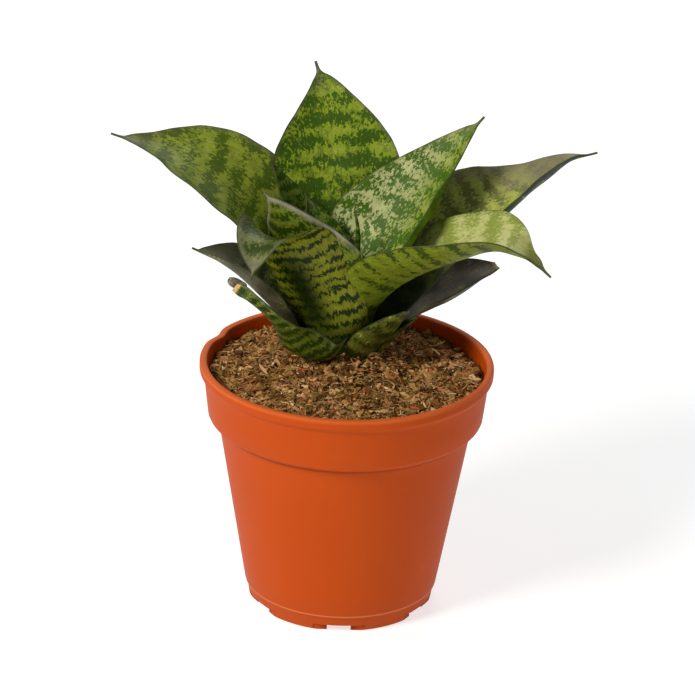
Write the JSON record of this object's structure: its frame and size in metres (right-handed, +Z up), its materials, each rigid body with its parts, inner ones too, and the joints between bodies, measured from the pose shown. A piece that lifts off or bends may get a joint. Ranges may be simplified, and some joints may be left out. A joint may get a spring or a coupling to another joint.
{
  "type": "potted snake plant",
  "caption": "Low rosette of broad pointed banded leaves growing from soil in a tapered plastic nursery pot with a collar and drainage notches.",
  "frame": {"origin": "centre of the pot's foot, on the surface it stands on", "axes": "+Z up along the pot's axis; -Y towards the viewer of the front; +X to the viewer's right, along the widest spread of the leaves"},
  "size_m": [0.1787, 0.108, 0.1942],
  "materials": {
    "pot": "satin terracotta-coloured moulded plastic",
    "soil": "dry coir and bark potting mix",
    "crown": "pale green waxy stem",
    "leaf": "waxy green with jagged dark and grey-green cross-bands"
  },
  "bodies": {
    "root": {"pot": "pot", "soil": "soil", "crown": "crown", "leaf_spike": "leaf", "leaf_front": "leaf", "leaf_back": "leaf", "leaf_left": "leaf", "leaf_right_front": "leaf", "leaf_right_inner": "leaf", "leaf_right_back": "leaf", "leaf_left_inner": "leaf", "leaf_left_low": "leaf", "leaf_front_left_low": "leaf", "leaf_front_right_low": "leaf", "leaf_back_left_inner": "leaf", "leaf_young": "leaf", "leaf_right_low": "leaf", "leaf_scrap": "leaf", "leaf_back_low_left": "leaf", "leaf_back_low_right": "leaf"}
  },
  "joints": []
}
